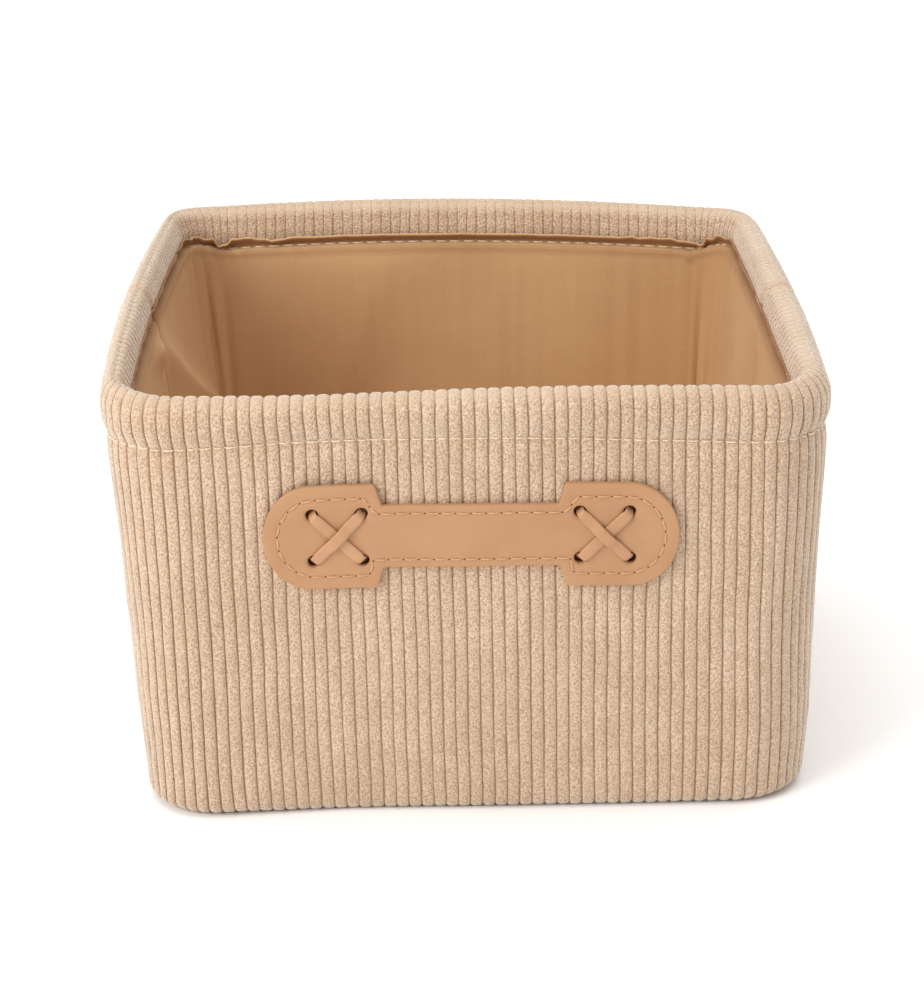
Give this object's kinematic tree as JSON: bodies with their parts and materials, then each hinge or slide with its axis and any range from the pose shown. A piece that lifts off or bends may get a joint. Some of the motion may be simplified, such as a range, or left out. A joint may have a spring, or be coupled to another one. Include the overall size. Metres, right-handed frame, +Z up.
{
  "type": "fabric storage bin",
  "caption": "Open square storage bin in ribbed corduroy with a soft rolled rim, smooth lining, laced leather strap handles and a lift-out base board.",
  "frame": {"origin": "centre of the bin's outline on the surface it stands on", "axes": "+Z up out of the open top, -Y out of the front wall with the handle that the picture shows, +X to the right seen from the front"},
  "size_m": [0.2594, 0.2656, 0.167],
  "materials": {
    "corduroy": "ribbed cotton corduroy with a short nubby pile, matt",
    "lining": "plain close-woven cloth, matt",
    "foam": "closed-cell foam sheet",
    "wire": "drawn steel",
    "tape": "plain woven tape",
    "board": "grey-brown pressed board",
    "leather": "smooth, fine grain, soft satin",
    "leather_back": "matt reverse side",
    "lace": "smooth flat lace, soft satin"
  },
  "bodies": {
    "bin": {"front_cover": "corduroy", "rear_cover": "corduroy", "base_cover": "corduroy", "front_foam": "foam", "rear_foam": "foam", "base_foam": "foam", "front_lining": "lining", "rear_lining": "lining", "base_lining": "lining", "rim_wire": "wire", "wire_casing": "tape", "front_strap_face": "leather", "front_strap_backing": "leather_back", "front_left_lace_under": "lace", "front_left_lace_over": "lace", "front_right_lace_under": "lace", "front_right_lace_over": "lace", "front_left_lace_tape": "tape", "front_right_lace_tape": "tape", "rear_strap_face": "leather", "rear_strap_backing": "leather_back", "rear_left_lace_under": "lace", "rear_left_lace_over": "lace", "rear_right_lace_under": "lace", "rear_right_lace_over": "lace", "rear_left_lace_tape": "tape", "rear_right_lace_tape": "tape"},
    "base_insert": {"insert_board": "board", "insert_cover": "lining"}
  },
  "joints": [
    {"name": "insert_lift", "type": "slide", "parent": "bin", "child": "base_insert", "axis": [0, 0, 1], "range_m": [0, 0.2]}
  ]
}
